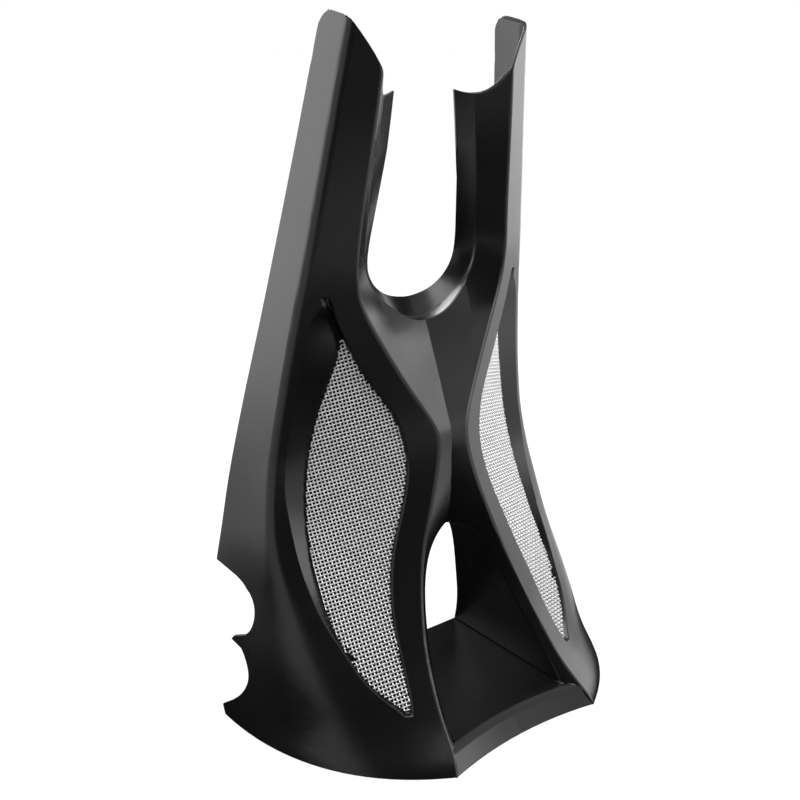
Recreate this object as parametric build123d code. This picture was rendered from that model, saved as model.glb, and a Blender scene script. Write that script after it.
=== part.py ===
from build123d import *
import math
import os

# Motorcycle chin spoiler: a moulded shell, open at the back, with a woven wire mesh laid in each side bay.
# It stands on its bottom rim, X to the right, Y to the rear, Z up, with Y = 0 halfway along its depth.

# Driving sizes, mm
overallHeight = 554.0
rimHalfWidth = 177.4
overallDepth = 220.0
wall = 2.6
ridgeRadius = 2.2
lipRadius = 9.0
lipSweep = 9.0
meshThickness = 2.0
meshClearance = 0.15
weavePitch = 15.0
weaveGap = 10.5
weaveRise = 13.0

# The curves below were drawn for a spoiler of these sizes, and follow the driving sizes by these ratios
across = rimHalfWidth / 177.4
deep = overallDepth / 220
up = overallHeight / 554


def sized(points, first, second):
    return [(a * first, b * second) for a, b in points]


# Curves of the right half, listed as (height, distance from the middle) or (height, depth behind the lip)
cornerX = sized([(0, 177.8), (30, 168), (60, 159.5), (104, 151.5), (150, 146.5), (195, 139), (257, 128),
                 (342, 115), (453, 98.5), (560, 83)], up, across)
cornerY = sized([(0, 60.5), (30, 74), (60, 91), (87, 110), (104, 122), (133, 138.5), (174, 153), (220, 158),
                 (257, 156), (321, 149), (395, 138), (480, 126.5), (560, 115)], up, deep)
cornerSpread = sized([(0, 124), (20, 104), (50, 72), (80, 46), (110, 26), (140, 13), (170, 8), (257, 6),
                      (560, 6)], up, across)
ridgeX = sized([(0, 77), (25, 68.6), (66, 60.3), (97, 52.9), (124, 45.3), (150, 37.2), (176, 28), (200, 20.3),
                (219, 16), (234, 15.3), (248, 20), (269, 32), (294, 46), (317, 58), (334, 67), (349, 72),
                (372, 75), (410, 72.2), (466, 66.6), (560, 57)], up, across)
ridgeY = sized([(0, 0), (9, 6.5), (25, 24), (44, 40), (66, 55), (97, 71), (124, 82), (150, 89), (200, 96),
                (234, 100), (269, 110), (317, 120.7), (349, 124.6), (372, 124), (410, 121), (466, 114),
                (560, 103)], up, deep)
creaseY = sized([(0, 78), (60, 108), (97, 120), (124, 118), (152, 107), (175, 103), (200, 101.5), (234, 102),
                 (251, 108), (300, 127.5), (323, 137.4), (350, 151), (372, 155), (406, 156), (464, 154),
                 (560, 150)], up, deep)
rearX = sized([(0, 177.3), (60, 168.5), (122, 157), (200, 147.5), (257, 138), (342, 121.5), (453, 101.5),
               (560, 83.5)], up, across)

# Foot of each arm's inner slope: its share of the way from ridge to crease, and its depth behind that line
footShare = sized([(0, 0.3), (300, 0.3), (350, 0.35), (372, 0.26), (410, 0.24), (466, 0.28), (560, 0.39)], up, 1)
footDepth = sized([(0, 0), (300, 0), (323, 0.5), (350, 7.5), (372, 10), (410, 9.5), (466, 9.0), (560, 8)], up, deep)

# The bay in each side: the mesh's inner and outer edges, the outer rim and the mesh's depth behind the face
bayBottom = 36.0 * up
bayTop = 352.0 * up
meshBottom = 38.0 * up
meshTop = 318.0 * up
bayInnerX = sized([(36, 86.5), (43, 83.5), (56, 80.5), (73, 78), (94, 75), (113, 70.5), (134, 64.5), (154, 57.5),
                   (176, 48.5), (198, 41.5), (218, 38.8), (234, 40.5), (250, 45), (270, 56), (289, 68),
                   (307, 77), (330, 87), (352, 94.5)], up, across)
meshOuterX = sized([(36, 89), (43, 95.5), (53, 105), (66, 112), (85, 117), (110, 119), (147, 117), (190, 111.5),
                    (223, 105.5), (252, 99), (276, 92), (292, 87), (303, 84), (318, 84.5), (330, 89.5),
                    (352, 96)], up, across)
bayOuterX = sized([(36, 91), (43, 97), (50, 102), (59, 109), (78, 116.5), (98, 122), (121, 125.5), (145, 127),
                   (195, 127), (224, 123.5), (283, 113.6), (321, 106), (352, 97)], up, across)
bayInnerDepth = 1.8 * deep
bayDepth = sized([(36, 2.5), (85, 3.5), (147, 5.5), (223, 8), (300, 6), (352, 0.8)], up, deep)

# The duct through the middle: its arch on a flat floor, and its upright rear edge, which leans forward
ductArch = sized([(60, 15), (57.5, 45), (51, 71), (43, 100), (35.5, 122), (25, 140)], across, up)
ductCrown = 152.0 * up
ductFloor = 15.0 * up
ductRear = 163.0 * deep
ductRearLean = 0.2 * deep / up

# The notch between the arms: its front edge and its narrower rear edge, and the leaning planes they lie on
notchFront = sized([(36, 570), (41.5, 513), (48, 464), (54.8, 406), (56.5, 385), (54.5, 364), (47, 350),
                    (32, 336), (16, 326.5)], across, up)
notchRear = sized([(22, 570), (28.5, 513), (34.3, 464), (41, 410), (43.8, 385), (42.5, 368), (34.5, 354.5),
                   (21, 345.5), (10, 342.5)], across, up)
notchFrontBottom = 323.0 * up
notchRearBottom = 341.5 * up
notchFrontPlane = (143.0 * deep, 366.0 * up, 0.085 * deep / up)
notchRearPlane = (159.6 * deep, 342.5 * up, 0.165 * deep / up)

# Slanted rim across each arm's top, seen from the front at the ridge's depth, and its rise to the rear
armRim = sized([(112, 582), (85, 547), (61.7, 513), (46, 490.5), (32.4, 490.5), (12, 499)], across, up)
armRimDepth = 107.0 * deep
armRimRise = 0.238 * up / deep

# Side view of the outer wall: the rounded top of the arm, the straight rear edge and the two notches below
armTop = sized([(104, 537), (117.6, 546.5), (128, 552), (139, 554), (148, 551.3), (153.6, 545), (156.2, 533),
                (158.4, 517)], deep, up)
tipRear = (153.0 * deep, 551.0 * up)
shoulder = (overallDepth, 122.0 * up)
upperNotch = sized([(191, 118.2), (175.6, 113.3), (162.5, 102), (160.5, 91), (168.8, 76)], deep, up)
tooth = sized([(183, 69.5), (186.3, 65)], deep, up)
lowerNotch = sized([(171, 62.8), (160.6, 53.4), (156, 44), (159, 32.5), (169.6, 19.9), (187, 6.7)], deep, up)
heel = (181.0 * deep, 0.0)

rearReach = overallDepth + 80
levels = [h * up for h in (0, 12, 28, 48, 70, 95, 122, 150, 175, 200, 218, 234, 251, 270, 295, 323, 350, 372, 400,
                           430, 462, 495, 528, 562)]
bayLevels = [h * up for h in (43, 52, 64, 80, 100, 125, 150, 175, 200, 218, 234, 251, 270, 290, 305)]


def smooth(points, height):
    """Value of a curve through the points at a height, without overshoot."""
    low = max([i for i in range(len(points) - 1) if points[i][0] <= height] or [0])
    slopes = [(points[i + 1][1] - points[i][1]) / (points[i + 1][0] - points[i][0])
              for i in range(len(points) - 1)]

    def tangent(i):
        before = slopes[max(0, i - 1)]
        after = slopes[min(len(slopes) - 1, i)]
        return 2 * before * after / (before + after) if before * after > 0 else 0.0

    step = points[low + 1][0] - points[low][0]
    t = (height - points[low][0]) / step
    a, b = points[low][1], points[low + 1][1]
    if t > 1:
        return b + slopes[-1] * (height - points[-1][0])
    if t < 0:
        return a + slopes[0] * (height - points[0][0])
    rise = (3 - 2 * t) * t * t
    return a + (b - a) * rise + step * (tangent(low) * t * (1 - t)**2 - tangent(low + 1) * t * t * (1 - t))


def offsetCorner(before, corner, after, inset):
    """Corner of an open profile moved inwards, which is to the right hand of travel, by the inset."""
    d1 = (corner - before).normalized()
    d2 = (after - corner).normalized()
    n1 = Vector(d1.Y, -d1.X)
    n2 = Vector(d2.Y, -d2.X)
    return corner + (n1 + n2) * (inset / (1 + n1.dot(n2)))


def rearDepth(height):
    """Depth of the straight rear edge at a height."""
    lean = (shoulder[0] - tipRear[0]) / (tipRear[1] - shoulder[1])
    return shoulder[0] + (shoulder[1] - max(height, shoulder[1])) * lean


def wallLine(height):
    """A point far back in the line of the outer wall, which splays outwards towards the rim."""
    x = smooth(cornerX, height)
    y = smooth(cornerY, height)
    t = (rearReach - y) / (rearDepth(height) - y)
    return Vector(x + (smooth(rearX, height) - x) * t, rearReach)


def halfProfile(height, inset):
    """Rear, the corner's three, the ridge's three, foot and crease points of the right half, moved in."""
    rear = wallLine(height)
    corner = Vector(smooth(cornerX, height), smooth(cornerY, height))
    ridge = Vector(smooth(ridgeX, height), smooth(ridgeY, height))
    crease = Vector(0, smooth(creaseY, height))
    foot = ridge + (crease - ridge) * smooth(footShare, height) + Vector(0, smooth(footDepth, height))
    points = [rear + (rear - corner), rear, corner, ridge, foot, crease, Vector(-foot.X, foot.Y)]
    moved = [offsetCorner(points[i - 1], points[i], points[i + 1], inset) for i in range(1, 6)]
    spread = smooth(cornerSpread, height)
    toWall = moved[1] + (moved[0] - moved[1]).normalized() * spread
    toRidge = moved[2] - moved[1]
    toFace = moved[1] + toRidge.normalized() * min(spread, 0.92 * toRidge.length)
    fromFace = moved[2] - toRidge.normalized() * ridgeRadius
    toFoot = moved[2] + (moved[3] - moved[2]).normalized() * ridgeRadius
    return [moved[0], toWall, moved[1], toFace, fromFace, moved[2], toFoot, moved[3], moved[4]]


def closedWire(points, height, bends=()):
    """Closed wire of straight lines through the points at a height, with a curve across each bend's point."""
    corners = [Vector(p.X, p.Y, height) for p in points]
    edges = []
    for i in range(len(corners)):
        after = (i + 1) % len(corners)
        if i in bends:
            edges.append(Edge.make_bezier(corners[i - 1], corners[i], corners[after]))
        elif after not in bends:
            edges.append(Edge.make_line(corners[i], corners[after]))
    return Wire(edges)


def closedForm(inset):
    """The right half of the outer form moved in by the inset, filled and closed far behind the rear edge."""
    wires = []
    for height in levels:
        half = halfProfile(height, inset)
        middle = Vector(0, half[-1].Y)
        wires.append(closedWire(half[:-1] + [middle, Vector(0, rearReach)], height, (2, 5)))
    return Solid.make_loft(wires)


def skin():
    """The right half of the moulded skin at its true wall, from the rear edge round to the middle."""
    wires = []
    for height in levels:
        outside = halfProfile(height, 0)
        inside = halfProfile(height, wall)
        for side in (outside, inside):
            run = side[0] - side[1]
            side[0] = side[1] + run * ((rearDepth(height) - side[1].Y) / run.Y)
        sharp = inside[:4] + [inside[5], inside[7], Vector(0, inside[8].Y)]
        wires.append(closedWire(outside + list(reversed(sharp)), height, (2, 5, 13)))
    return Solid.make_loft(wires)


def faceDepth(height, x):
    """Depth of the side face, flat from the ridge and then rounded, at a height and distance from the middle."""
    rear, toWall, corner, toFace, fromFace, ridge = halfProfile(height, 0)[:6]
    if x <= toFace.X:
        return ridge.Y + (toFace.Y - ridge.Y) * (x - ridge.X) / (toFace.X - ridge.X)
    a = toFace.X - 2 * corner.X + toWall.X
    b = corner.X - toFace.X
    t = (math.sqrt(b * b + a * (x - toFace.X)) - b) / a
    return (1 - t)**2 * toFace.Y + 2 * t * (1 - t) * corner.Y + t * t * toWall.Y


def bayPoints(height):
    """The mesh's inner and outer edges, the outer rim, and the depth of a unit of thickness, at a height."""
    inner = smooth(bayInnerX, height)
    middle = max(inner + 1.0, smooth(meshOuterX, height))
    outer = max(middle + 0.8, smooth(bayOuterX, height))
    a = Vector(inner, faceDepth(height, inner) + bayInnerDepth)
    b = Vector(middle, faceDepth(height, middle) + smooth(bayDepth, height))
    c = Vector(outer, faceDepth(height, outer))
    return a, b, c, Vector(0, (b - a).length / (b.X - a.X))


def bayHollow():
    """What the bay takes out of the side face, down to the floor that carries the mesh."""
    wires = []
    for height in [bayBottom] + bayLevels + [meshTop, (meshTop + bayTop) / 2, bayTop]:
        a, b, c, behind = bayPoints(height)
        floor = behind * (meshThickness + meshClearance)
        ahead = (c - b).normalized() * 9
        points = [Vector(a.X, a.Y - 40), a + floor, b + floor, c + ahead, Vector(c.X + ahead.X, a.Y - 40)]
        wires.append(closedWire(points, height))
    return Solid.make_loft(wires)


def bayPan():
    """The bay's floor and walls, one wall thick behind the hollow."""
    wires = []
    for height in [bayBottom - wall] + bayLevels + [meshTop, (meshTop + bayTop) / 2, bayTop + wall]:
        a, b, c, behind = bayPoints(min(bayTop, max(bayBottom, height)))
        floor = behind * (meshThickness + meshClearance + wall)
        points = [Vector(a.X - wall, a.Y - 12), a + floor - Vector(wall, 0), b + floor,
                  c + Vector(2 * wall, 2 * wall), Vector(c.X + 2 * wall, c.Y - 12)]
        wires.append(closedWire(points, height))
    return Solid.make_loft(wires)


def meshPanel():
    """The right mesh, laid on the bay's floor: a formed sheet with ridges both ways between its gaps."""
    wires = []
    for height in [meshBottom] + bayLevels + [meshTop]:
        a, b, c, behind = bayPoints(height)
        run = (b - a).normalized()
        start = a + run * meshClearance
        end = b - run * meshClearance
        back = behind * meshThickness
        wires.append(closedWire([start, start + back, end + back, end], height))
    sheet = Solid.make_loft(wires)
    low, middle, high = [sum(bayPoints(h)[:2], Vector()) / 2 for h in (meshBottom, bayLevels[7], meshTop)]
    a, b = bayPoints(bayLevels[7])[:2]
    rise = Vector(0, high.Y - low.Y, meshTop - meshBottom)
    facing = (b - a).cross(rise).normalized()
    plane = Plane(origin=(middle.X, middle.Y, bayLevels[7]), x_dir=(b - a), z_dir=facing).rotated((0, 0, -weaveRise))
    gap = Box(weaveGap, weaveGap, overallDepth)
    rim = weavePitch - weaveGap
    gaps = []
    for row in range(-12, 13):
        for column in range(-5, 6):
            centre = plane.from_local_coords((column * weavePitch, row * weavePitch, 0))
            reach = (weaveGap + rim) / 2
            ends = [plane.from_local_coords((column * weavePitch + i * reach, row * weavePitch + j * reach, 0))
                    for i in (-1, 1) for j in (-1, 1)]
            if all(meshBottom + rim < p.Z < meshTop - rim and bayPoints(p.Z)[0].X < p.X < bayPoints(p.Z)[1].X
                   for p in ends):
                gaps.append(Location(Plane(origin=centre, x_dir=plane.x_dir, z_dir=plane.z_dir)) * gap)
    return sheet - gaps


def grown(points, amount):
    """The points of a smooth outline, each moved to the left of travel by the amount."""
    moved = []
    for i, (x, y) in enumerate(points):
        x0, y0 = points[max(0, i - 1)]
        x1, y1 = points[min(len(points) - 1, i + 1)]
        along = math.hypot(x1 - x0, y1 - y0)
        moved.append((x - (y1 - y0) / along * amount, y + (x1 - x0) / along * amount))
    return moved


def notchFace(points, bottom, place, outward):
    """Upright outline of the arms' notch, on the plane that leans back from its place, moved out if asked."""
    outlinePoints = points + [(0, bottom)] + [(-x, height) for x, height in reversed(points)]
    outline = Spline(*grown(outlinePoints, outward))
    flat = make_face(outline + Line(outline @ 1, outline @ 0))
    depth, level, lean = place
    tilt = math.atan(lean)
    facing = (0, -math.cos(tilt), -math.sin(tilt))
    plane = Plane(origin=(0, depth + level * lean, 0), x_dir=(1, 0, 0), z_dir=facing)
    return plane.from_local_coords(flat).faces()[0]


def notchForm(outward, beyond):
    """The notch between the arms: straight through the skin, then tapering from front edge to rear edge."""
    front = notchFace(notchFront, notchFrontBottom, notchFrontPlane, outward).outer_wire()
    rear = notchFace(notchRear, notchRearBottom, notchRearPlane, outward).outer_wire()
    wires = [front.moved(Location((0, -60, 0))), front, rear]
    if beyond:
        wires.append(rear.moved(Location((0, beyond, 0))))
    return Solid.make_loft(wires, ruled=True)


def frontPlane(depth, height=0):
    return Plane(origin=(0, depth, height), x_dir=(1, 0, 0), z_dir=(0, -1, 0))


def sidePlane(x):
    return Plane(origin=(x, 0, 0), x_dir=(0, 1, 0), z_dir=(1, 0, 0))


def ductFace(grow):
    """Upright outline of the duct, an arch on a flat floor, grown by a wall if asked."""
    archPoints = ductArch + [(0, ductCrown)] + [(-x, height) for x, height in reversed(ductArch)]
    arch = Spline(*grown(archPoints, -grow))
    flat = make_face(arch + Line(arch @ 1, arch @ 0))
    return frontPlane(0).from_local_coords(flat).faces()[0]


def ductBehind():
    """Everything behind the duct's rear edge, which leans forward as it rises."""
    block = Pos(0, 400, 0) * Box(900, 800, 1600)
    return Pos(0, ductRear, ductFloor) * Rot(math.degrees(math.atan(ductRearLean)), 0, 0) * block


def lipOutline(height, inset):
    """Plan of the lip and the duct's floor at a height."""
    x = smooth(ridgeX, height) - inset
    y = smooth(ridgeY, height) + inset
    side = ductArch[0][0] + wall - inset
    rear = ductRear + 20
    front = Edge.make_three_point_arc(Vector(-x, y, height), Vector(0, y + lipSweep, height),
                                      Vector(x, y, height))
    corners = [Vector(x, y, height), Vector(side, y + max(x - side, 1.0), height), Vector(side, rear, height)]
    corners += [Vector(-p.X, p.Y, height) for p in reversed(corners)]
    return Wire([front] + [Edge.make_line(corners[i], corners[i + 1]) for i in range(5)])


def lipForm(bottom, top, inset, radius):
    """The lip's rounded front and the floor behind it, as a solid whose top front edge is rounded."""
    solid = Solid.make_loft([lipOutline(bottom, inset), lipOutline(top, inset)], ruled=True)
    crest = Vector(0, smooth(ridgeY, top) + lipSweep, top)
    edge = min(solid.edges(), key=lambda e: (e.center() - crest).length)
    return solid.fillet(radius, [edge])


def rearCut():
    """What lies behind the lower part of the side wall's rear edge: two round notches with a tooth between."""
    edge = Line(shoulder, upperNotch[0]) + Spline(*upperNotch)
    edge += Polyline(upperNotch[-1], *tooth, lowerNotch[0])
    edge += Spline(*lowerNotch) + Polyline(lowerNotch[-1], heel, (heel[0], -30), (rearReach, -30),
                                           (rearReach, shoulder[1]), shoulder)
    return Solid.extrude(sidePlane(100 * across).from_local_coords(make_face(edge)).faces()[0], Vector(120, 0, 0))


def armTopCut():
    """What lies above the rounded top of the arm's outer wall."""
    above = overallHeight + 60
    edge = Spline(*armTop) + Polyline(armTop[-1], (rearReach, armTop[-1][1]), (rearReach, above),
                                      (armTop[0][0], above), armTop[0])
    return Solid.extrude(sidePlane(74 * across).from_local_coords(make_face(edge)).faces()[0], Vector(60, 0, 0))


def armRimCut():
    """What lies above the slanted rim of the arm."""
    above = overallHeight + 120
    first, last = armRim[0], armRim[-1]
    past = -last[0]
    edge = Spline(*armRim) + Polyline(last, (past, last[1]), (past, above), (first[0], above), first)
    lead = 100
    plane = frontPlane(armRimDepth - lead, -lead * armRimRise)
    return Solid.extrude(plane.from_local_coords(make_face(edge)).faces()[0], Vector(0, 300, 300 * armRimRise))


def shellHalf():
    """The right half of the shell: skin, bay, notch flange, duct and lip, then everything that is cut away."""
    middle = closedForm(wall / 2)
    behindDuct = ductBehind()
    rightHalf = Pos(400, 0, 300) * Box(800, 1600, 1600)
    lipHollow = lipForm(-1, ductFloor - wall, wall, lipRadius - wall)
    flange = notchForm(wall, 0) & middle
    tube = (Solid.extrude(ductFace(wall), Vector(0, ductRear + 20, 0)) - behindDuct) & middle
    lip = (lipForm(0, ductFloor, 0, lipRadius) - lipHollow - behindDuct) & rightHalf
    body = skin().cut(lipHollow).fuse(bayPan() & middle, flange, tube, lip)
    duct = Solid.extrude(ductFace(0), Vector(0, 500, 0)).moved(Location((0, -60, 0)))
    for cutter in (bayHollow(), notchForm(0, 40), duct, rearCut(), armRimCut(), armTopCut()):
        body = body.cut(cutter)
    return body


half = shellHalf()
toCentre = Location((0, -overallDepth / 2, 0))
mesh = meshPanel()
pieces = {
    "shell": half.fuse(half.mirror(Plane.YZ)),
    "right_mesh": mesh,
    "left_mesh": mesh.mirror(Plane.YZ),
}
os.makedirs("parts", exist_ok=True)
for name, piece in pieces.items():
    export_step(piece.moved(toCentre), f"parts/{name}.step")
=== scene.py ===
import bpy
import bmesh
import math
from mathutils import Matrix, Vector
from mathutils.bvhtree import BVHTree


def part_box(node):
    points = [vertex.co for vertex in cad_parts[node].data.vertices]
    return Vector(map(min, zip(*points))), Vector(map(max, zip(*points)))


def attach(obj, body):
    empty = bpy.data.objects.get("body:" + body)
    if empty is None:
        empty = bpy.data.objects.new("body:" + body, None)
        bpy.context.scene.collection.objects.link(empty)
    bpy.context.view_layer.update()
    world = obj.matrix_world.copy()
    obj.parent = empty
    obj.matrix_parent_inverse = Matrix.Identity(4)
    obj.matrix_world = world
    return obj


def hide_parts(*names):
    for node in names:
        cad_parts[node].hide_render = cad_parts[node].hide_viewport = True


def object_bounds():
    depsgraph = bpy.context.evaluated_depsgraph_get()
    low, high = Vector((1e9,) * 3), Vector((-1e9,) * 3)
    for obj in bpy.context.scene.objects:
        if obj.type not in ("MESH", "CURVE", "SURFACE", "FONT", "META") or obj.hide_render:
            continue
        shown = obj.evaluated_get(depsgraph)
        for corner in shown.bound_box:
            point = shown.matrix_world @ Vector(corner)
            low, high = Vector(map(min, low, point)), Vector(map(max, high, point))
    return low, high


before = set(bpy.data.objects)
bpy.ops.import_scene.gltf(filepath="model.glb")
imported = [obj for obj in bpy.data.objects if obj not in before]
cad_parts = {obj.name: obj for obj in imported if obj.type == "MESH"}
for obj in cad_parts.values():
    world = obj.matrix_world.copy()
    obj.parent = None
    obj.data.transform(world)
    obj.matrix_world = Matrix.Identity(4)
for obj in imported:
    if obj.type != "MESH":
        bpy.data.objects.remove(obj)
cadLow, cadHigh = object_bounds()
scene = bpy.context.scene
print("frame loaded")


def linear(hexText):
    # sRGB hex to the linear colour that the shaders use
    values = [int(hexText[i:i + 2], 16) / 255 for i in (1, 3, 5)]
    return [v / 12.92 if v <= 0.04045 else ((v + 0.055) / 1.055) ** 2.4 for v in values] + [1]


def addNode(tree, kind, settings={}, links={}):
    # one node with its settings and sockets; a link is (other node, its output)
    node = tree.nodes.new(kind)
    for name, value in settings.items():
        if isinstance(name, int) or name in node.inputs:
            node.inputs[name].default_value = value
        else:
            setattr(node, name, value)
    for name, (other, output) in links.items():
        tree.links.new(other.outputs[output], node.inputs[name])
    return node


def newMaterial(name):
    material = bpy.data.materials.new(name)
    material.use_nodes = True
    material.node_tree.nodes.clear()
    return material, material.node_tree


def selectOnly(obj):
    bpy.ops.object.select_all(action="DESELECT")
    obj.select_set(True)
    bpy.context.view_layer.objects.active = obj


def copyOfNode(node, name):
    # the CAD node's loose triangles, merged into one closed mesh of a new object, with their normals kept aside
    piece = bpy.data.objects.new(name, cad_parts[node].data.copy())
    scene.collection.objects.link(piece)
    piece.matrix_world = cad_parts[node].matrix_world.copy()
    selectOnly(piece)
    bpy.ops.object.transform_apply(location=True, rotation=True, scale=True)
    piece.data.materials.clear()
    smooth = [part for normal in piece.data.corner_normals for part in normal.vector]
    piece.data.attributes.new("smoothNormal", "FLOAT_VECTOR", "CORNER").data.foreach_set("vector", smooth)
    bpy.ops.object.mode_set(mode="EDIT")
    bpy.ops.mesh.select_all(action="SELECT")
    bpy.ops.mesh.remove_doubles(threshold=0.00001)
    bpy.ops.object.mode_set(mode="OBJECT")
    return piece


# Injection-moulded ABS, black, with the soft sheen of a lightly polished mould
shellLook = {
    "colour": "#080708",
    "roughness": 0.27,
    "roughnessDrift": 0.03,  # up and down from place to place
    "driftScale": 14.0,      # such places to a metre
    "edge": 1.0,             # mm, rounding of the rims
    "edgeAngle": 38,         # degrees of turn from which a rim is rounded
    "edgeSteps": 4,
    "flare": 0.35,           # how far a rounding may leave the CAD surface, as a share of the edge
    "grainSize": 0.9,        # mm, the faint orange peel of the moulding
    "grainDepth": 0.012,     # mm
    "grainStrength": 0.25,
}


def mouldedAbs():
    material, tree = newMaterial("Moulded black ABS")
    place = addNode(tree, "ShaderNodeTexCoord")
    grain = addNode(tree, "ShaderNodeTexNoise", {"Scale": 1000 / shellLook["grainSize"], "Detail": 2.0},
                    {"Vector": (place, "Object")})
    cloud = addNode(tree, "ShaderNodeTexNoise", {"Scale": shellLook["driftScale"], "Detail": 3.0},
                    {"Vector": (place, "Object")})
    rough = addNode(tree, "ShaderNodeMapRange",
                    {"From Min": 0.3, "From Max": 0.7,
                     "To Min": shellLook["roughness"] - shellLook["roughnessDrift"],
                     "To Max": shellLook["roughness"] + shellLook["roughnessDrift"]},
                    {"Value": (cloud, "Fac")})
    bump = addNode(tree, "ShaderNodeBump",
                   {"Strength": shellLook["grainStrength"], "Distance": shellLook["grainDepth"] / 1000},
                   {"Height": (grain, "Fac")})
    shader = addNode(tree, "ShaderNodeBsdfPrincipled", {"Base Color": linear(shellLook["colour"]), "IOR": 1.45},
                     {"Roughness": (rough, "Result"), "Normal": (bump, "Normal")})
    addNode(tree, "ShaderNodeOutputMaterial", {}, {"Surface": (shader, "BSDF")})
    return material


# Plain weave of bright drawn stainless wire
weave = {
    "pitch": 2.9,           # mm between wires, both ways
    "wire": 1.2,            # mm thick
    "crimp": 0.92,          # how far a wire swings to each side, as a share of its radius
    "cloth": (150, 330),    # mm, the flat piece that is cut to the bay
    "rowsRise": 13.0,       # degrees that the cross wires rise towards the middle of the part
    "facing": (0.48, -0.82, 0.30),  # the way that the right bay looks
    "frontShare": 0.5,      # faces of the sheet that look at least this much that way are its front
    "gapSides": 24,         # most edges round a gap of the sheet that is filled
    "bridges": (4, 8, 11.5),  # mm to each side, where the rim of a gap is looked for
    "steps": 4,             # bends of a wire between two crossings
    "sides": 6,
    "colour": "#f1f1f0",
    "roughness": 0.36,
    "roughnessDrift": 0.05,  # along a wire, from the drawing
    "driftScale": 900.0,     # such places to a metre
}


def drawnWire():
    material, tree = newMaterial("Bright drawn stainless wire")
    place = addNode(tree, "ShaderNodeTexCoord")
    streaks = addNode(tree, "ShaderNodeTexNoise", {"Scale": weave["driftScale"], "Detail": 2.0},
                      {"Vector": (place, "Object")})
    rough = addNode(tree, "ShaderNodeMapRange",
                    {"From Min": 0.3, "From Max": 0.7,
                     "To Min": weave["roughness"] - weave["roughnessDrift"],
                     "To Max": weave["roughness"] + weave["roughnessDrift"]},
                    {"Value": (streaks, "Fac")})
    shader = addNode(tree, "ShaderNodeBsdfPrincipled", {"Base Color": linear(weave["colour"]), "Metallic": 1.0},
                     {"Roughness": (rough, "Result")})
    addNode(tree, "ShaderNodeOutputMaterial", {}, {"Surface": (shader, "BSDF")})
    return material


def keepSmoothNormals(mesh):
    # the flats keep the normals of the CAD surfaces, and the rounded rims run from one flat to the next
    kept = [Vector(corner.vector).normalized() for corner in mesh.attributes["smoothNormal"].data]
    normals = [Vector(normal.vector) for normal in mesh.corner_normals]
    onFlats = {}
    for face in mesh.polygons:
        if face.material_index == 0:
            for corner in face.loop_indices:
                normals[corner] = kept[corner]
                onFlats.setdefault(mesh.loops[corner].vertex_index, kept[corner])
    for face in mesh.polygons:
        if face.material_index == 1:
            for corner in face.loop_indices:
                normals[corner] = onFlats.get(mesh.loops[corner].vertex_index, normals[corner])
            face.material_index = 0
    mesh.attributes.remove(mesh.attributes["smoothNormal"])
    mesh.normals_split_custom_set(normals)


def pullBack(mesh, surface):
    # where rims meet in a narrow place the rounding overshoots, so its points go back on the CAD surface
    for vert in mesh.vertices:
        hit, _, _, distance = surface.find_nearest(vert.co)
        if distance > shellLook["flare"] * shellLook["edge"] / 1000:
            vert.co = hit
        vert.co = [min(max(value, low), high) for value, low, high in zip(vert.co, cadLow, cadHigh)]


def makeShell(material):
    shell = copyOfNode("shell", "shellMoulding")
    surface = BVHTree.FromPolygons([v.co.copy() for v in shell.data.vertices],
                                   [tuple(face.vertices) for face in shell.data.polygons])
    rounding = shell.modifiers.new("rounded rims", "BEVEL")
    rounding.width = shellLook["edge"] / 1000
    rounding.segments = shellLook["edgeSteps"]
    rounding.limit_method = "ANGLE"
    rounding.angle_limit = math.radians(shellLook["edgeAngle"])
    rounding.use_clamp_overlap = False
    rounding.loop_slide = False
    for _ in ("flats", "rims"):
        shell.data.materials.append(material)
    rounding.material = 1
    bpy.ops.object.modifier_apply(modifier=rounding.name)
    pullBack(shell.data, surface)
    bpy.ops.object.shade_smooth()
    keepSmoothNormals(shell.data)
    shell.data.materials.pop()
    print("shell rounded,", len(shell.data.polygons), "faces")
    return shell


def wavedWire(level, turn):
    # one wire of the weave's cell, two pitches long: level wires run across and the others up
    pitch = weave["pitch"] / 1000
    radius = weave["wire"] / 2000
    count = 2 * weave["steps"]
    bpy.ops.mesh.primitive_cylinder_add(vertices=weave["sides"], radius=radius, depth=2 * pitch,
                                        end_fill_type="NOTHING")
    wire = bpy.context.object
    mesh = bmesh.new()
    mesh.from_mesh(wire.data)
    for i in range(1, count):
        bend = -pitch + 2 * pitch * i / count
        bmesh.ops.bisect_plane(mesh, geom=mesh.verts[:] + mesh.edges[:] + mesh.faces[:],
                               plane_co=(0, 0, bend), plane_no=(0, 0, 1))
    for vert in mesh.verts:
        x, y, z = vert.co
        wave = radius * weave["crimp"] * math.cos(math.pi * z / pitch + math.pi * (turn + level))
        if level:
            vert.co = (z, x + turn * pitch, y + wave)
        else:
            vert.co = (turn * pitch - x, z, y + wave)
    mesh.to_mesh(wire.data)
    mesh.free()
    return wire


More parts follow.
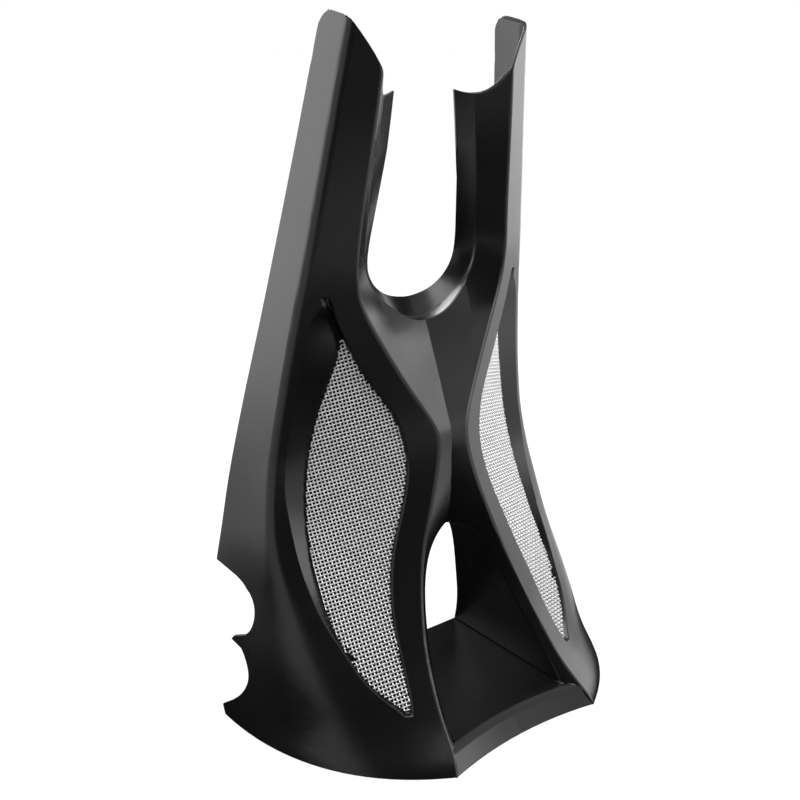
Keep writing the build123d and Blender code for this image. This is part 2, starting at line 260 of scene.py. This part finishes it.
def flatWeave(name):
    # plain weave laid flat: four waved wires make a cell, and two array modifiers repeat it
    pitch = weave["pitch"] / 1000
    columns, rows = [int(side / 1000 / pitch / 2) for side in weave["cloth"]]
    bpy.ops.object.select_all(action="DESELECT")
    wires = [wavedWire(level, turn) for level in (0, 1) for turn in (0, 1)]
    selectOnly(wires[0])
    for wire in wires[1:]:
        wire.select_set(True)
    bpy.ops.object.join()
    cell = bpy.context.object
    cell.name = name
    bpy.ops.object.transform_apply(location=True, rotation=True, scale=True)
    for label, offset, number in (("columns", (2 * pitch, 0, 0), columns), ("rows", (0, 2 * pitch, 0), rows)):
        array = cell.modifiers.new(label, "ARRAY")
        array.use_relative_offset = False
        array.use_constant_offset = True
        array.constant_offset_displace = offset
        array.count = number
        array.use_merge_vertices = True
        array.merge_threshold = 0.00002
        bpy.ops.object.modifier_apply(modifier=array.name)
    cell.data.transform(Matrix.Translation((-columns * pitch, -rows * pitch, 0)))
    return cell


def frontOf(node, outward):
    # the front skin of a bay's sheet with its gaps filled, to lay the weave on
    sheet = copyOfNode(node, "front")
    front = bmesh.new()
    front.from_mesh(sheet.data)
    bpy.data.objects.remove(sheet)
    behind = [face for face in front.faces if face.normal.dot(outward) < weave["frontShare"]]
    bmesh.ops.delete(front, geom=behind, context="FACES")
    bmesh.ops.holes_fill(front, edges=front.edges, sides=weave["gapSides"])
    bmesh.ops.triangulate(front, faces=front.faces)
    tree = BVHTree.FromBMesh(front)
    front.free()
    return tree


def besideGap(tree, start, outward, ways):
    # where a gap opens the sheet's edge, the place halfway between its two sides
    for bridge in weave["bridges"]:
        reach = bridge / 1000
        for way in ways:
            (one, oneNormal), (other, otherNormal) = [tree.ray_cast(start + way * step, -outward)[:2]
                                                      for step in (-reach, reach)]
            if one is not None and other is not None:
                return (one + other) / 2, (oneNormal + otherNormal).normalized()
    return None, None


def layOnBay(cell, node, side):
    # turns the flat weave to face the bay and lets it down on the sheet that the bay holds
    low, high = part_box(node)
    middle = (Vector(low) + Vector(high)) / 2
    x, y, z = weave["facing"]
    outward = Vector((side * x, y, z)).normalized()
    lift = outward * 0.3  # clear of the sheet, where the rays start
    tree = frontOf(node, outward)
    level = Vector((0, 0, 1)).cross(outward).normalized()
    upward = outward.cross(level)
    rise = math.radians(weave["rowsRise"]) * -side
    across = level * math.cos(rise) + upward * math.sin(rise)
    along = outward.cross(across)
    half = weave["wire"] / 1000
    ringEdge = weave["wire"] / 2000 * 1.1  # longer than an edge round a wire, shorter than one along it
    mesh = bmesh.new()
    mesh.from_mesh(cell.data)
    ways = (across, along, (across + along).normalized(), (across - along).normalized())
    laid = {}
    for vert in mesh.verts:
        start = middle + across * vert.co.x + along * vert.co.y + lift
        hit, normal = tree.ray_cast(start, -outward)[:2]
        if hit is None:
            hit, normal = besideGap(tree, start, outward, ways)
        if hit is not None:
            if normal.dot(outward) < 0:
                normal = -normal
            laid[vert] = hit + normal * (vert.co.z - half)
    lost = [vert for vert in mesh.verts if vert not in laid]
    for vert in lost:
        for edge in vert.link_edges:
            other = edge.other_vert(vert)
            if other in laid and edge.calc_length() < ringEdge:  # so that each wire is cut square
                del laid[other]
                lost.append(other)
    for vert, place in laid.items():
        vert.co = place
    bmesh.ops.delete(mesh, geom=lost, context="VERTS")
    mesh.to_mesh(cell.data)
    mesh.free()


def makeMesh(node, side, material):
    cell = flatWeave(node.replace("_m", "M"))
    layOnBay(cell, node, side)
    selectOnly(cell)
    bpy.ops.object.mode_set(mode="EDIT")
    bpy.ops.mesh.select_all(action="SELECT")
    bpy.ops.mesh.delete_loose()
    bpy.ops.mesh.select_all(action="SELECT")
    bpy.ops.mesh.fill_holes(sides=weave["sides"])
    bpy.ops.object.mode_set(mode="OBJECT")
    bpy.ops.object.shade_smooth()
    cell.data.materials.append(material)
    print(node, "woven,", len(cell.data.polygons), "faces")
    return cell


blackAbs = mouldedAbs()
wireMetal = drawnWire()
shell = makeShell(blackAbs)
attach(shell, "root")
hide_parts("shell")
for node, side in (("right_mesh", 1), ("left_mesh", -1)):
    panel = makeMesh(node, side, wireMetal)
    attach(panel, "root")
    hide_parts(node)
print("pieces made")

studio = {
    "floor": "#f4f4f4",
    "floorSize": 60,        # m
    "floorDrop": 0.0005,    # m under the part's foot, so that the two don't flicker
    "floorWhite": 0.8,      # the share of its own shading and shadow that the background's white replaces
    "floorGlow": 1.12,
    "skyForLight": 0.6,     # what matt surfaces get from the world
    # tones of the dark cards, painted into reflections as shade
    "greyReflectionShade": "#4c4c4c",
    "blackReflectionShade": "#1c1c1c",
}


def whiteShare(tree, path):
    # 1 for what the camera sees straight, in gloss or through glass
    both = addNode(tree, "ShaderNodeMath", {"operation": "MAXIMUM"},
                   {0: (path, "Is Camera Ray"), 1: (path, "Is Glossy Ray")})
    return addNode(tree, "ShaderNodeMath", {"operation": "MAXIMUM"},
                   {0: (both, "Value"), 1: (path, "Is Transmission Ray")})


def makeStage():
    bpy.ops.mesh.primitive_plane_add(size=studio["floorSize"], location=(0, 0, -studio["floorDrop"]))
    floor = bpy.context.object
    floor.name = "floor"
    material, tree = newMaterial("Pale studio floor")
    white = whiteShare(tree, addNode(tree, "ShaderNodeLightPath"))
    diffuse = addNode(tree, "ShaderNodeBsdfDiffuse", {"Color": linear(studio["floor"])})
    glow = addNode(tree, "ShaderNodeEmission", {"Color": (1, 1, 1, 1), "Strength": studio["floorGlow"]})
    share = addNode(tree, "ShaderNodeMath", {"operation": "MULTIPLY", 1: studio["floorWhite"]},
                    {0: (white, "Value")})
    mix = addNode(tree, "ShaderNodeMixShader", {},
                  {0: (share, "Value"), 1: (diffuse, "BSDF"), 2: (glow, "Emission")})
    addNode(tree, "ShaderNodeOutputMaterial", {}, {"Surface": (mix, "Shader")})
    floor.data.materials.append(material)


def makeWorld():
    world = bpy.data.worlds.new("studio")
    scene.world = world
    world.use_nodes = True
    tree = world.node_tree
    tree.nodes.clear()
    path = addNode(tree, "ShaderNodeLightPath")
    white = whiteShare(tree, path)
    plain = addNode(tree, "ShaderNodeMath", {"operation": "MULTIPLY", 1: studio["skyForLight"]},
                    {0: (path, "Is Diffuse Ray")})
    total = addNode(tree, "ShaderNodeMath", {"operation": "MAXIMUM"}, {0: (white, "Value"), 1: (plain, "Value")})
    back = addNode(tree, "ShaderNodeBackground", {"Color": (1, 1, 1, 1)}, {"Strength": (total, "Value")})
    addNode(tree, "ShaderNodeOutputWorld", {}, {"Surface": (back, "Background")})


# Dark sheets like a photographer's felt flags, but seen in reflections alone: painted dark reflections on the
# gloss
cards = {
    # a big grey sheet at the front left that only reflections see: painted shade in the reflections of the faces
    # that look that way
    "front card": {"reflectedShade": "greyReflectionShade", "place": (-0.66, -1.32, 0.8), "target": (0, 0, 0.3),
                   "size": (2.1, 2.0)},
    # a black sheet on the floor under the left side that only reflections see: the white floor mirrors as
    # painted dark shade in the lower faces
    "table card": {"reflectedShade": "blackReflectionShade", "place": (-0.45, -0.3, 0.0002), "target": (-0.45, -0.3, 1),
                   "size": (1.4, 1.4)},
    # a black sheet behind the scoop that only reflections see: painted dark reflection in the duct's floor and
    # walls
    "card behind the scoop": {"reflectedShade": "blackReflectionShade", "place": (0.2, 0.22, 0.2), "target": (0.2, 0, 0.2),
                              "size": (0.5, 0.45)},
}


def darkCard(name, reflectedShade, place, target, size):
    # shows in reflections alone, as a painted dark reflection; it casts no shadow and sends no light
    turn = (Vector(target) - Vector(place)).to_track_quat("Z", "Y").to_euler()
    bpy.ops.mesh.primitive_plane_add(size=1, location=place, rotation=turn)
    card = bpy.context.object
    card.name = name
    card.scale = (*size, 1)
    cloth, tree = newMaterial("Painted dark reflection of the " + name)
    matt = addNode(tree, "ShaderNodeBsdfDiffuse", {"Color": linear(studio[reflectedShade])})
    addNode(tree, "ShaderNodeOutputMaterial", {}, {"Surface": (matt, "BSDF")})
    card.data.materials.append(cloth)
    card.visible_camera = False
    card.visible_diffuse = False
    card.visible_shadow = False
    card.visible_transmission = False


# Places and sizes in metres, power in watts
softboxes = {
    "wide light at the right": {"place": (1.87, -1.06, 0.56), "target": (0, 0, 0.28), "size": (2.4, 0.65),
                                "power": 15.5},
    "side light at the right": {"place": (1.9, 0.35, 0.45), "target": (0, 0, 0.28), "size": (0.9, 0.9),
                                "power": 4},
    "light behind the left side": {"place": (-1.02, 0.92, 0.55), "target": (-0.1, 0, 0.33), "size": (0.9, 1.04),
                                   "power": 8.2},
    "light above the back": {"place": (0.18, 1.11, 1.3), "target": (0, 0, 0.3), "size": (0.8, 0.4),
                             "power": 12},
    "ceiling light": {"place": (-0.3, -0.35, 2.2), "target": (0, 0, 0.3), "size": (1.2, 1.2), "power": 24},
}


def softbox(name, place, target, size, power):
    light = bpy.data.lights.new(name, "AREA")
    light.shape = "RECTANGLE"
    light.size, light.size_y = size
    light.energy = power
    obj = bpy.data.objects.new(name, light)
    scene.collection.objects.link(obj)
    obj.location = place
    obj.rotation_euler = (Vector(target) - Vector(place)).to_track_quat("-Z", "Y").to_euler()
    obj.visible_camera = False


makeStage()
makeWorld()
for name, card in cards.items():
    darkCard(name, **card)
for name, box in softboxes.items():
    softbox(name, **box)
print("studio lit")

view = {
    "place": (-0.51248, -0.59615, 0.51884),  # m
    "tilt": 71.73,      # degrees from looking straight down
    "turn": -38.0,
    "lens": 46.08,      # mm
    "sensor": 36,       # mm wide
}
camera = bpy.data.objects.new("camera", bpy.data.cameras.new("camera"))
scene.collection.objects.link(camera)
camera.location = view["place"]
camera.rotation_euler = (math.radians(view["tilt"]), 0, math.radians(view["turn"]))
camera.data.lens = view["lens"]
camera.data.sensor_width = view["sensor"]
scene.camera = camera
scene.view_settings.view_transform = "Standard"
print("camera set")
